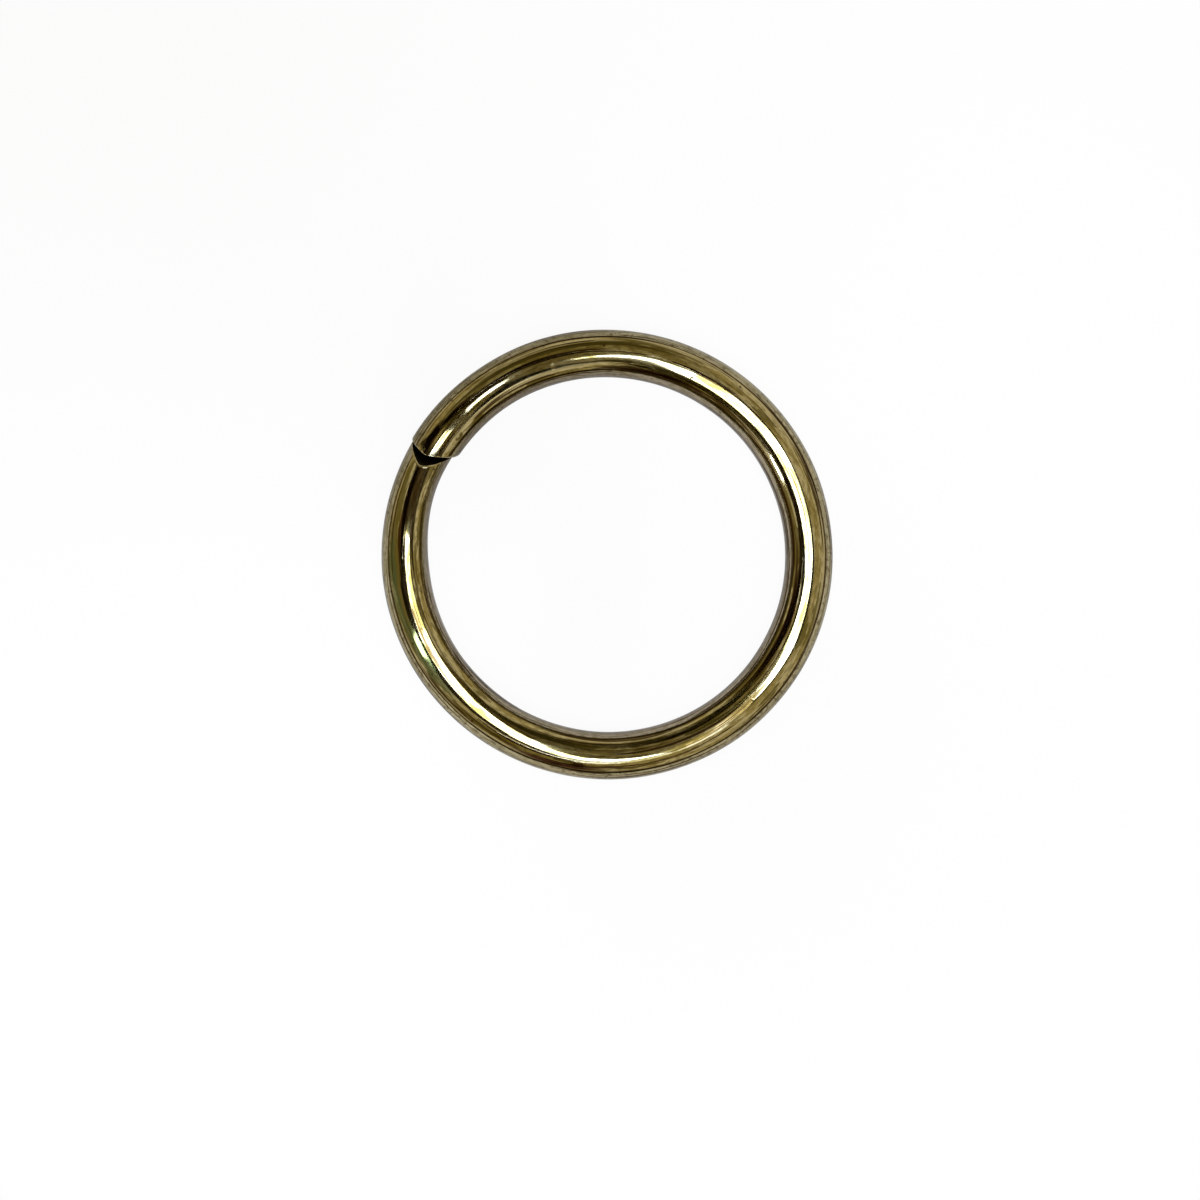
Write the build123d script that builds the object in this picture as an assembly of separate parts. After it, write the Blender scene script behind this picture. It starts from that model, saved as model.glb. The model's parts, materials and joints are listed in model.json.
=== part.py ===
"""Open split ring: one length of round wire bent into a ring, its two sheared ends butted together.

The ring lies in the XY plane with its centre at the origin. The joint between the two wire ends is
on +X. The spread end is on the -Y side of the joint and the necked end is on the +Y side.
All sizes are in millimetres and all angles in degrees.
"""

from build123d import *
from math import tan, radians, sqrt
import os

# ---- Driving dimensions of the whole ring ----
EYE_DIAMETER = 25.4  # clear width inside the ring
WIRE_DIAMETER = 3.4
OUT_OF_ROUND = 0.24  # how much longer the ring is through its joint than across it

# ---- Necked end: the closing tool gripped it and drew it in, mostly from the inside ----
NECK_NARROWER = 0.4  # than the wire, in the plane of the ring
NECK_SET_OUT = 0.11  # how far the neck's centre stands outside the ring's centreline
NECK_LENGTH = 9.5  # from the joint back to the even wire
NECK_LAND = 1.5  # the part of that, next to the joint, that keeps the full change

# ---- Spread end: the shear pressed it a little wider and flatter ----
SPREAD_WIDER = 0.08  # than the wire, in the plane of the ring
SPREAD_FLATTER = 0.06  # than the wire, from bottom to top
SPREAD_LENGTH = 7.5

# ---- Shear cut: a raked blade with a blunt nose, which left one end nested in the other ----
JOINT_GAP = 0.06  # where the two ends come nearest, halfway up the wire
BURR_RAKE = 11.0  # lean of a cut face on its burr side: above on the spread end, below on the neck
ROLL_RADIUS = 2.6  # the other half of each face, where the blade went in, curves away at this radius
NOSE_OFFSET = 0.25  # the nose is this far outside the ring's centreline
NOSE_FALL_IN = 19.5  # how far the cut falls back from the nose towards the eye
NOSE_FALL_OUT = 10.0  # and towards the outside

# ---- Derived ----
WIRE_RADIUS = WIRE_DIAMETER / 2
CENTRELINE_RADIUS = EYE_DIAMETER / 2 + WIRE_RADIUS
LONG_SEMI_AXIS = CENTRELINE_RADIUS + OUT_OF_ROUND / 4
SHORT_SEMI_AXIS = CENTRELINE_RADIUS - OUT_OF_ROUND / 4
BLADE_REACH = WIRE_DIAMETER  # the blade passes this far beyond its nose, all round the wire
ROLL_ARC = 75.0  # carries the rolled curve past the top of the wire; above it the cut goes straight up
OVERRUN = 2.0  # each end is made this much too long, then the shear trims it
SECTION_START = 30.0  # an oval's outline starts here, clear of the corners that the cut gives its rim


def closed_centreline():
    """The oval that the wire follows, anticlockwise from the joint: arcs tangent on the 45 degree lines."""
    shift = (LONG_SEMI_AXIS - SHORT_SEMI_AXIS) / (2 - sqrt(2))
    end_radius = LONG_SEMI_AXIS - shift
    side_radius = SHORT_SEMI_AXIS + shift
    return Wire(
        [
            CenterArc((shift, 0), end_radius, 0, 45),
            CenterArc((0, -shift), side_radius, 45, 90),
            CenterArc((-shift, 0), end_radius, 135, 90),
            CenterArc((0, shift), side_radius, 225, 90),
            CenterArc((shift, 0), end_radius, 315, 45),
        ]
    )


CENTRELINE = closed_centreline()


def station(along):
    """Plane across the wire, a distance along the centreline from the joint: x is outward, y is up."""
    share = (along / CENTRELINE.length) % 1
    heading = CENTRELINE.tangent_at(share)
    return Plane(CENTRELINE.position_at(share), x_dir=heading.cross(Vector(0, 0, 1)), z_dir=-heading)


def even_run():
    """The round wire swept along its centreline, without the two worked ends."""
    start = NECK_LENGTH / CENTRELINE.length
    finish = 1 - SPREAD_LENGTH / CENTRELINE.length
    return sweep(station(NECK_LENGTH) * Circle(WIRE_RADIUS), path=CENTRELINE.trim(start, finish))


def ease(share):
    """S-curve from 0 to 1 that is level at both ends."""
    return share * share * (3 - 2 * share)


def worked_section(along, change, wider, taller, set_out):
    """Oval section of a worked end: change is 0 for round wire and 1 for the full difference from it."""
    half_width = WIRE_RADIUS + change * wider / 2
    half_height = WIRE_RADIUS + change * taller / 2
    oval = EllipticalCenterArc((0, 0), half_width, half_height, SECTION_START, arc_size=360)
    return station(along) * Pos(change * set_out, 0, 0) * make_face(oval)


def shares(steps):
    """Evenly spaced values from 0 to 1, both included."""
    return [i / steps for i in range(steps + 1)]


def necked_end():
    """Loft from the round wire down into the neck, then along its land and past the joint."""
    full_change = (-NECK_NARROWER, 0, NECK_SET_OUT)
    taper_length = NECK_LENGTH - NECK_LAND
    taper = [
        worked_section(NECK_LENGTH - share * taper_length, ease(share), *full_change)
        for share in shares(6)
    ]
    land = [worked_section(along, 1, *full_change) for along in (0, -OVERRUN)]
    return loft(taper + land)


def spread_end():
    """Loft from the round wire into the spread end and past the joint."""
    full_change = (SPREAD_WIDER, -SPREAD_FLATTER, 0)
    taper = [
        worked_section(-SPREAD_LENGTH * (1 - share), ease(share), *full_change)
        for share in shares(4)
    ]
    return loft(taper + [worked_section(OVERRUN, 1, *full_change)])


def shear_block(turn):
    """What the shear takes off one end, beyond a raked, nosed face: turn 0 for the neck, 180 for the other.

    The slice at the nose has y along the wire and z up. The flanks carry that slice back to both sides.
    """
    burr_side = Line((-BLADE_REACH * tan(radians(BURR_RAKE)), -BLADE_REACH), (0, 0))
    rolled_side = JernArc((0, 0), burr_side % 1, ROLL_RADIUS, -ROLL_ARC)
    curve_end = rolled_side @ 1
    top, bottom, back = BLADE_REACH, -BLADE_REACH, -2 * BLADE_REACH
    outline = Polyline(curve_end, (curve_end.X, top), (back, top), (back, bottom), burr_side @ 0)
    slice_face = Rot(0, 0, turn) * make_face([burr_side, rolled_side, outline])
    half_gap = JOINT_GAP / 2 if turn == 0 else -JOINT_GAP / 2
    nose = (LONG_SEMI_AXIS + NOSE_OFFSET, half_gap, 0)
    at_nose = Plane(nose, x_dir=(0, 1, 0), z_dir=(1, 0, 0)) * slice_face
    inner_flank = extrude(at_nose, BLADE_REACH, dir=(-1, -tan(radians(NOSE_FALL_IN)), 0))
    outer_flank = extrude(at_nose, BLADE_REACH, dir=(1, -tan(radians(NOSE_FALL_OUT)), 0))
    return inner_flank + outer_flank


def split_ring():
    """The whole ring, as one solid."""
    neck = necked_end() - shear_block(0)
    spread = spread_end() - shear_block(180)
    return even_run() + neck + spread


os.makedirs("parts", exist_ok=True)
ring = split_ring()
print("volume", ring.volume, "solids", len(ring.solids()), "faces", len(ring.faces()))
export_step(ring, "parts/split_ring.step")
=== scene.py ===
# %% [markdown]
# # An open split ring in antique brass
#
# This lesson dresses one small piece of strap hardware: a ring bent from a single length of round
# wire, about 32 mm across. Its two ends were sheared off and pressed together, and nobody welded
# them. The exact shape was made in CAD and packed, and here it gets the surface that the real ring
# has: a polished, stained and half rubbed metal skin, with tool marks beside the joint. Some
# reflections of the studio and a highlight on the cut edges are painted into that skin's colour too.
#
# The lesson loads the imported part first, because every size and place comes from it.

# %% Load the imported part
import json
import math

import bpy
import numpy as np
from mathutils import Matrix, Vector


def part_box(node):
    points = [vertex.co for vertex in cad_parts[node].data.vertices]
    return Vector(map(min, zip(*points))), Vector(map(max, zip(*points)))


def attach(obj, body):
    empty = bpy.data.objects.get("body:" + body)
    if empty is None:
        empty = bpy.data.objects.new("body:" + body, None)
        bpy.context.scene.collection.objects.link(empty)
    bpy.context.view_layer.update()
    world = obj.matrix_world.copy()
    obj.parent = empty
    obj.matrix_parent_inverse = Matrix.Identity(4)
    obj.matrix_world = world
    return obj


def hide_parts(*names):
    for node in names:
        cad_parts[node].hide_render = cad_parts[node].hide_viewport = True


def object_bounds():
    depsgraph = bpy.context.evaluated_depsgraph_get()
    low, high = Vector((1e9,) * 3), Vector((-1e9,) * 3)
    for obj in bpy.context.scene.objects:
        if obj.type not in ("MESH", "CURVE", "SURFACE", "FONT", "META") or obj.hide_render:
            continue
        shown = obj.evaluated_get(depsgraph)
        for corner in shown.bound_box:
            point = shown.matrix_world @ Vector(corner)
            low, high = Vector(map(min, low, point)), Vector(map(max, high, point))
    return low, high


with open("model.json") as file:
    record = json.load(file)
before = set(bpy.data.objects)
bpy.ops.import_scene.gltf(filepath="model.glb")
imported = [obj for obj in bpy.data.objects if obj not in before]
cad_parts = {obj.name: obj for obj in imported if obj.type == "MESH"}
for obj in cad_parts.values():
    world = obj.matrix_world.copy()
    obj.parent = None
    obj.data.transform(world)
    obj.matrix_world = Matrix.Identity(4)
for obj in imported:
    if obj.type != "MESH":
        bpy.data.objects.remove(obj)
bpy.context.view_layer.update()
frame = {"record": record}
MM = 0.001  # one millimetre, in Blender's metres

# %% [markdown]
# The ring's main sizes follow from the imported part's record and from its box. The record gives the
# wire's radius, and where its middle lies opposite the joint. The box gives the width across. The
# two differ a little: rings like this one come off the bending pin slightly longer through the joint.

# %% Read the ring's sizes
low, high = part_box("split_ring")
mounts = {mount["name"]: mount for mount in frame["record"]["mounts"]}
wire_radius = mounts["strap_seat"]["dims"]["r_mm"] * MM
long_radius = -mounts["strap_seat"]["pos_m"][0]  # from the centre to the middle of the wire
short_radius = high.y - wire_radius  # the same, across the joint's axis
ring_centre = (low + high) / 2

print(f"wire {2 * wire_radius / MM:.2f} mm thick")
print(f"centreline {long_radius / MM:.2f} by {short_radius / MM:.2f} mm")

# %% [markdown]
# ## The path of the wire
#
# The middle of the wire follows an oval made of four arcs that meet on the diagonals. The oval is
# nearly a circle, and a circle stretched a little in one direction would look the same. But the CAD
# solid has these arcs, and on an arc the length of wire is simply the angle times the radius.
#
# A place on the path is given by its heading: the direction from the ring's middle in which that
# bit of wire faces outwards. Heading 0 is the joint.

# %% Follow the wire's path
arc_shift = (long_radius - short_radius) / (2 - math.sqrt(2))
end_bend = long_radius - arc_shift
side_bend = short_radius + arc_shift


def bend_at(heading):
    """Centre and radius of the arc that the wire follows at a heading, in radians."""
    along_x, along_y = np.cos(heading), np.sin(heading)
    at_end = np.abs(along_x) > np.abs(along_y)
    centre_x = np.where(at_end, arc_shift * np.sign(along_x), 0)
    centre_y = np.where(at_end, 0, -arc_shift * np.sign(along_y))
    return centre_x, centre_y, np.where(at_end, end_bend, side_bend)


print(f"bends of {end_bend / MM:.3f} and {side_bend / MM:.3f} mm")

# %% [markdown]
# ## The two worked ends
#
# The ends are not alike. The closing tool gripped one end and drew it in, mostly from the inside,
# so it has a neck. The other end was pressed wide and a little flat by the shear. Each change eases
# in over several millimetres, because metal that is squeezed pulls its neighbour along.
#
# So the section of the wire is an oval whose half width, half height and place depend on how far it
# is from the joint. An S-curve that is level at both ends keeps reflections smooth.

# %% Shape the worked ends
NECK_NARROWER = 0.4 * MM
NECK_SET_OUT = 0.11 * MM
NECK_LENGTH = 9.5 * MM
NECK_LAND = 1.5 * MM
SPREAD_WIDER = 0.08 * MM
SPREAD_FLATTER = 0.06 * MM
SPREAD_LENGTH = 7.5 * MM
FULL_TURN = 2 * math.pi


def ease(share):
    """S-curve from 0 to 1, level at both ends."""
    share = np.clip(share, 0, 1)
    return share * share * (3 - 2 * share)


def section_at(heading):
    """Half width, half height and outward shift of the wire's section at a heading."""
    from_neck_tip = end_bend * heading
    from_spread_tip = end_bend * (FULL_TURN - heading)
    neck = ease((NECK_LENGTH - from_neck_tip) / (NECK_LENGTH - NECK_LAND))
    spread = ease(1 - from_spread_tip / SPREAD_LENGTH)
    half_width = wire_radius - neck * NECK_NARROWER / 2 + spread * SPREAD_WIDER / 2
    half_height = wire_radius - spread * SPREAD_FLATTER / 2
    return half_width, half_height, neck * NECK_SET_OUT


for tip, name in ((0.0, "neck"), (FULL_TURN, "spread end")):
    print(name, round(float(2 * section_at(tip)[0] / MM), 2), "mm wide")

# %% [markdown]
# ## Unevenness
#
# Polished wire is never quite true. Drawing, bending and tumbling leave low waves, a few
# thousandths of a millimetre high, and they are what makes a reflection wander. A sum of long
# sine waves with a fixed seed does this, and it gives the same ring each time.

# %% Low waves
rng = np.random.default_rng(7)
WAVE_COUNT = 18
WAVE_HEIGHT = 0.003 * MM
WAVE_LENGTHS = (3.5, 16)  # shortest and longest, in millimetres
waves = [
    (
        WAVE_HEIGHT * rng.uniform(0.4, 1.0),
        FULL_TURN / (rng.uniform(*WAVE_LENGTHS) * MM),  # turns of the wave along the wire
        rng.integers(-3, 4),  # and round it
        rng.uniform(0, FULL_TURN),
    )
    for _ in range(WAVE_COUNT)
]


def waviness(along, around):
    """Height of the low waves at a place on the skin."""
    total = 0
    for height, pace, turns, start in waves:
        total = total + height * np.sin(pace * along + turns * around + start)
    return total


print(len(waves), "waves")

# %% [markdown]
# With the path, the section and the waves in hand, one function gives any point of the skin.

# %% The skin of the wire
def skin(heading, around):
    """Points of the wire's skin: heading along the path, around from the outer side over the top."""
    centre_x, centre_y, bend = bend_at(heading)
    half_width, half_height, set_out = section_at(heading)
    raised = waviness(bend * heading, around)
    reach = bend + set_out + (half_width + raised) * np.cos(around)
    x = centre_x + reach * np.cos(heading)
    y = centre_y + reach * np.sin(heading)
    return np.stack([x, y, (half_height + raised) * np.sin(around) + ring_centre.z], axis=-1)


AROUND = 96
angles = np.arange(AROUND) * FULL_TURN / AROUND
print("a ring of", AROUND, "points round the wire")

# %% [markdown]
# ## The sheared ends
#
# A shear does not cut a wire square. The blade has a blunt nose and leans a little, so one end
# keeps a blunt point and the other the matching notch, and they nest when the ring is closed. On
# the side where the blade went in, the edge rolls away, which leaves a dark crescent in the joint.
#
# The cut is a curved surface, so each line along the wire is followed until it meets that surface.
# A stretch of wire round the joint is halved again and again, and the half that holds the cut is
# kept. Forty halvings find the place to far less than a hair. Cutting the skin with a boolean would
# also work, but it leaves thin, uneven faces at the rim, and these rows stay clean.

# %% Cut the ends
JOINT_GAP = 0.06 * MM
RAKE = math.radians(11)
ROLL_RADIUS = 2.6 * MM
NOSE_OFFSET = 0.25 * MM
NOSE_BLUNT = 0.09 * MM
FALL_IN = math.tan(math.radians(19.5))
FALL_OUT = math.tan(math.radians(10))
NECK, SPREAD = -1, 1
SEARCH_REACH = 0.4  # radians to each side of the joint
HALVINGS = 40


def cut_height(x, z, end):
    """Where the cut of an end crosses, along Y, at a place across the wire.

    From above, the cut falls back from its nose to both sides. Upwards, it has a rake on the burr
    side and follows the rolled curve on the other. The two ends have these sides the other way up.
    """
    aside = x - (long_radius + NOSE_OFFSET)
    plan = (FALL_IN - FALL_OUT) / 2 * aside - (FALL_IN + FALL_OUT) / 2 * np.sqrt(aside**2 + NOSE_BLUNT**2)
    up = end * (z - ring_centre.z)
    swing = np.arcsin(np.clip(math.sin(RAKE) - np.minimum(up, 0) / ROLL_RADIUS, -1, 1))
    lean = np.where(up > 0, up * math.tan(RAKE), -ROLL_RADIUS * (math.cos(RAKE) - np.cos(swing)))
    return plan + end * (lean - JOINT_GAP / 2)


def heading_of_cut(end):
    """Heading at which each line of the skin meets the cut of that end."""
    base = FULL_TURN if end == SPREAD else 0.0
    before = np.full(AROUND, base - SEARCH_REACH)
    after = np.full(AROUND, base + SEARCH_REACH)
    for _ in range(HALVINGS):
        middle = (before + after) / 2
        point = skin(middle, angles)
        beyond = point[:, 1] > cut_height(point[:, 0], point[:, 2], end)
        after = np.where(beyond, middle, after)
        before = np.where(beyond, before, middle)
    return (before + after) / 2


cut_heading = {end: heading_of_cut(end) for end in (NECK, SPREAD)}
for end, name in ((NECK, "neck"), (SPREAD, "spread end")):
    tip = cut_heading[end] * end_bend / MM
    print(name, "cut wanders over", round(float(tip.max() - tip.min()), 2), "mm of wire")

# %% [markdown]
# ### The edge of each cut
#
# Tumbling in the polishing drum takes the sharpness off an edge. The rim of the neck is only just
# broken. The spread end is rounder, above all at its inner corner, where fingers and straps find
# it. Each rim is a small curve from the skin on to the cut, with its own size at each angle.

# %% Round the edges
NECK_RIM = 0.06 * MM
SPREAD_RIM = 0.07 * MM
INNER_CORNER = 0.36 * MM
OUTER_CORNER = 0.12 * MM
RIM_STEPS = 5


def rim_size(end):
    """How far the rounding of a rim reaches, at each angle round the wire."""
    if end == NECK:
        return np.full(AROUND, NECK_RIM)
    inner = np.clip(-np.cos(angles), 0, 1) ** 3
    outer = np.clip(np.cos(angles), 0, 1) ** 4
    return SPREAD_RIM + INNER_CORNER * inner + OUTER_CORNER * outer


def rounded_rim(end):
    """Rows of points from the skin over the rim on to the cut, skin first."""
    corner = skin(cut_heading[end], angles)
    on_skin = skin(cut_heading[end] - end * rim_size(end) / end_bend, angles)
    middle = corner.mean(axis=0)
    to_middle = (middle - corner)[:, [0, 2]]
    to_middle /= np.linalg.norm(to_middle, axis=1, keepdims=True)
    across = corner[:, [0, 2]] + to_middle * rim_size(end)[:, None]
    on_cut = np.stack([across[:, 0], cut_height(across[:, 0], across[:, 1], end), across[:, 1]], axis=-1)
    rows = []
    for share in np.linspace(0, 1, RIM_STEPS + 1)[1:]:
        rows.append((1 - share) ** 2 * on_skin + 2 * share * (1 - share) * corner + share**2 * on_cut)
    return rows


print("inner corner of the spread end rounded over", round(float(rim_size(SPREAD).max() / MM), 2), "mm")

# %% [markdown]
# ### The torn face
#
# Behind the rim the metal was torn, not polished. Concentric rows shrink to the middle of the cut
# and stay on its curved surface, with a small grain that fades out towards the rim.

# %% Fill the cut faces
FACE_ROWS = 14
TEAR = 0.012 * MM


def torn_face(end, rim):
    """Rows that shrink from the rim to the middle of a cut, and the point in the middle."""
    middle = rim.mean(axis=0)
    rows = []
    for row in range(1, FACE_ROWS + 1):
        share = 1 - row / (FACE_ROWS + 1)
        points = middle + (rim - middle) * share
        grain = TEAR * rng.uniform(-1, 1, AROUND) * ease(4 * (1 - share))
        points[:, 1] = cut_height(points[:, 0], points[:, 2], end) + grain
        rows.append(points)
    middle[1] = cut_height(middle[0], middle[2], end)
    return rows, middle


print(FACE_ROWS, "rows on each cut face")

# %% [markdown]
# ## Build the mesh
#
# The skin is one long sleeve of four-sided faces. Its rows are even in the middle of the wire. Near
# a cut they lean over, little by little, until they lie along it, and they come closer together, so
# that the rims have enough points.
#
# A plain swept curve would be quicker to make, but its ends would be flat and its section the same
# all the way. This sleeve carries the neck, the spread, the waves and the cuts in one clean surface.

# %% Lay out the rows of the sleeve
EVEN_STEP = 0.135 * MM
FINE_STEP = 0.05 * MM
FINE_LENGTH = 3.6 * MM
LEAN_LENGTH = 4.5 * MM

edge = {end: cut_heading[end] - end * rim_size(end) / end_bend for end in (NECK, SPREAD)}
first, last = edge[NECK].mean(), edge[SPREAD].mean()
stops, place = [0.0], 0.0
length = (last - first) * end_bend
while place < length:
    near_end = min(place, length - place)
    place += FINE_STEP + (EVEN_STEP - FINE_STEP) * float(ease(near_end / FINE_LENGTH))
    stops.append(place)
stops = np.array(stops) * length / stops[-1] / end_bend + first


def sleeve_rows():
    """Headings of each row of the sleeve, one value for each angle round the wire."""
    rows = []
    for stop in stops:
        from_neck = 1 - ease((stop - first) * end_bend / LEAN_LENGTH)
        from_spread = 1 - ease((last - stop) * end_bend / LEAN_LENGTH)
        rows.append(stop + from_neck * (edge[NECK] - first) + from_spread * (edge[SPREAD] - last))
    return rows


headings = sleeve_rows()
print(len(headings), "rows on the sleeve")

# %% [markdown]
# Each point is kept with its place on the wire as if the wire were straight, and with its distance
# from the nearest cut. The finish needs both later. The rows run from the middle of the neck's cut
# face, over its rim, along the whole sleeve, over the other rim and into the other cut face.

# %% Gather every point, with its place on the unrolled wire
points, places, from_cut = [], [], []


def lay(row, heading, share=1.0, distance=None):
    """Adds one row of points, with its place on the wire as if the wire were straight, in mm."""
    along = np.broadcast_to(heading, (AROUND,)) * end_bend / MM
    side = share * wire_radius / MM * np.cos(angles)
    up = share * wire_radius / MM * np.sin(angles)
    points.append(row)
    places.append(np.stack([along, side, up], axis=-1))
    from_cut.append(np.zeros(AROUND) if distance is None else distance / MM)


neck_rim, spread_rim = rounded_rim(NECK), rounded_rim(SPREAD)
neck_face, neck_middle = torn_face(NECK, neck_rim[-1])
spread_face, spread_middle = torn_face(SPREAD, spread_rim[-1])

for step, row in enumerate(reversed(neck_face)):
    lay(row, cut_heading[NECK], (step + 1) / (FACE_ROWS + 1))
for row in reversed(neck_rim):
    lay(row, cut_heading[NECK])
for heading in headings:
    nearest = np.minimum(heading - cut_heading[NECK], cut_heading[SPREAD] - heading)
    lay(skin(heading, angles), heading, distance=nearest * end_bend)
for row in spread_rim:
    lay(row, cut_heading[SPREAD])
for step, row in enumerate(spread_face):
    lay(row, cut_heading[SPREAD], 1 - (step + 1) / (FACE_ROWS + 1))

row_count = len(points)
vertices = np.concatenate(points + [neck_middle[None], spread_middle[None]])
unrolled = np.concatenate(places + [[[0, 0, 0]], [[places[-1][0][0], 0, 0]]])
distances = np.concatenate(from_cut + [[0.0], [0.0]])
print(row_count, "rows,", len(vertices), "points")

# %% [markdown]
# Every row has the same number of points, so the faces are a plain net of squares between one row
# and the next. A fan of triangles closes the middle of each cut face.

# %% Join the points into faces
def sleeve_faces():
    """Four-sided faces between each row and the next, facing outwards."""
    faces = []
    for row in range(row_count - 1):
        here, there = row * AROUND, (row + 1) * AROUND
        for i in range(AROUND):
            j = (i + 1) % AROUND
            faces.append((here + i, here + j, there + j, there + i))
    return faces


def fan(row, middle, forwards):
    """Three-sided faces from a row to the point in its middle."""
    start = row * AROUND
    pairs = [(start + i, start + (i + 1) % AROUND) for i in range(AROUND)]
    return [(a, b, middle) if forwards else (b, a, middle) for a, b in pairs]


faces = sleeve_faces()
sleeve_count = len(faces)
faces += fan(0, row_count * AROUND, False) + fan(row_count - 1, row_count * AROUND + 1, True)

mesh = bpy.data.meshes.new("open_ring")
mesh.from_pydata(vertices.tolist(), [], faces)
mesh.update()
print(len(mesh.polygons), "faces")

# %% [markdown]
# The materials need to know where they are on the wire. Two attributes carry that: the place on the
# straightened wire, so that stains run along it round the bend, and the distance from the nearest
# cut. A UV map with the same layout is added for anyone who wants to paint the ring later.

# %% Store the unrolled wire on the mesh
place_attribute = mesh.attributes.new("wire_place", "FLOAT_VECTOR", "POINT")
place_attribute.data.foreach_set("vector", unrolled.astype(np.float32).ravel())
cut_attribute = mesh.attributes.new("from_cut", "FLOAT", "POINT")
cut_attribute.data.foreach_set("value", distances.astype(np.float32))

corners = np.zeros(len(mesh.loops), dtype=np.int64)
mesh.loops.foreach_get("vertex_index", corners)
turn_share = (corners % AROUND) / AROUND
wraps = np.zeros(len(corners), dtype=bool)
wraps[: sleeve_count * 4] = np.tile([False, True, True, False], sleeve_count)
turn_share[wraps & (turn_share == 0)] = 1.0
along_share = (unrolled[corners, 0] - unrolled[:, 0].min()) / np.ptp(unrolled[:, 0])
uv = mesh.uv_layers.new(name="unrolled_wire")
uv.data.foreach_set("uv", np.stack([along_share, turn_share], axis=-1).astype(np.float32).ravel())

mesh.polygons.foreach_set("use_smooth", np.ones(len(mesh.polygons), dtype=bool))
print("attributes", [a.name for a in mesh.attributes if a.name in ("wire_place", "from_cut")])

# %% [markdown]
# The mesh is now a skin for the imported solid. It takes the solid's place in the picture, and it
# stays tied to the same body, so that whatever moves the solid moves the skin.

# %% Put the new skin in the place of the plain solid
ring = bpy.data.objects.new("open_ring", mesh)
bpy.context.scene.collection.objects.link(ring)
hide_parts("split_ring")
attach(ring, "root")
print("ring size", [round(v / MM, 2) for v in ring.dimensions], "mm")

# %% [markdown]
# ## Antique brass
#
# Antique brass is made in two steps. The bright plated ring is dipped in a bath that turns it
# brown to black. A tumbling drum then rubs the stain off again, but not evenly: it stays in the fine
# lines that the drawing die left along the wire, and the top of the wire comes out cleanest.
#
# So the material needs long streaks, a mottle of two brass tones, small pits, and marks of its own
# here and there: stains, and painted reflections and highlights. The streaks appear several times,
# at different widths, so they are a node group with named values. The drum leaves the metal bright,
# so the surface stays nearly smooth and shows the studio almost as a mirror would.

# %% Helpers for node trees
def add(tree, kind, values=None, **settings):
    """Adds a node, sets its properties, and sets or links its inputs by name or number."""
    made = tree.nodes.new(kind)
    for name, value in settings.items():
        setattr(made, name, value)
    for socket, value in (values or {}).items():
        if isinstance(value, bpy.types.NodeSocket):
            tree.links.new(value, made.inputs[socket])
        else:
            made.inputs[socket].default_value = value
    return made


def new_group(name, inputs, outputs):
    """A shader node group with named sockets: {name: (type, default)} for each side."""
    group = bpy.data.node_groups.new(name, "ShaderNodeTree")
    for label, (kind, default) in inputs.items():
        socket = group.interface.new_socket(label, in_out="INPUT", socket_type=kind)
        if default is not None:
            socket.default_value = default
    for label, kind in outputs.items():
        group.interface.new_socket(label, in_out="OUTPUT", socket_type=kind)
    return group, add(group, "NodeGroupInput"), add(group, "NodeGroupOutput")


def use(tree, group, values):
    """Places a group in a tree with its own values."""
    made = add(tree, "ShaderNodeGroup", node_tree=group)
    for socket, value in values.items():
        if isinstance(value, bpy.types.NodeSocket):
            tree.links.new(value, made.inputs[socket])
        else:
            made.inputs[socket].default_value = value
    return made


def calculate(tree, operation, a, b, clamp=False):
    """One sum of two numbers or sockets."""
    return add(tree, "ShaderNodeMath", {0: a, 1: b}, operation=operation, use_clamp=clamp).outputs[0]


def blend_colours(tree, share, first_colour, second_colour):
    """Mixes two colours by a mask."""
    return add(
        tree, "ShaderNodeMix", {"Factor": share, "A": first_colour, "B": second_colour}, data_type="RGBA"
    )


print("helpers ready")

# %% [markdown]
# A mask of streaks is a noise that has been pulled out along the wire. Dividing the place along the
# wire by a large number and the place across it by a small one does the pulling. A narrow range of
# the noise is then spread from 0 to 1, and where it lies sets how much of the wire is covered.

# %% A group for streaks along the wire
FLOAT, VECTOR = "NodeSocketFloat", "NodeSocketVector"
streaks, given, result = new_group(
    "streaks_along_wire",
    {
        "Place": (VECTOR, None),
        "Length": (FLOAT, 6.0),
        "Width": (FLOAT, 0.5),
        "Start": (FLOAT, 0.5),
        "Full": (FLOAT, 0.6),
        "Shift": (FLOAT, 0.0),
        "Detail": (FLOAT, 3.0),
    },
    {"Mask": FLOAT},
)
shifted = add(streaks, "ShaderNodeCombineXYZ", {0: given.outputs["Shift"], 1: given.outputs["Shift"]})
moved = add(
    streaks,
    "ShaderNodeVectorMath",
    {0: given.outputs["Place"], 1: shifted.outputs[0]},
    operation="ADD",
)
grain_size = add(
    streaks,
    "ShaderNodeCombineXYZ",
    {0: given.outputs["Length"], 1: given.outputs["Width"], 2: given.outputs["Width"]},
)
pulled = add(
    streaks,
    "ShaderNodeVectorMath",
    {0: moved.outputs[0], 1: grain_size.outputs[0]},
    operation="DIVIDE",
)
noise = add(
    streaks,
    "ShaderNodeTexNoise",
    {"Vector": pulled.outputs[0], "Scale": 1.0, "Detail": given.outputs["Detail"], "Roughness": 0.5},
)
spread_out = add(
    streaks,
    "ShaderNodeMapRange",
    {
        "Value": noise.outputs["Fac"],
        "From Min": given.outputs["Start"],
        "From Max": given.outputs["Full"],
    },
    interpolation_type="SMOOTHSTEP",
)
streaks.links.new(spread_out.outputs[0], result.inputs["Mask"])
print("group", streaks.name)

# %% [markdown]
# Pits and specks are points scattered in cells. Each cell draws a random number, and only the cells
# below a chosen share hold a pit, so that they stay rare and uneven.

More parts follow.
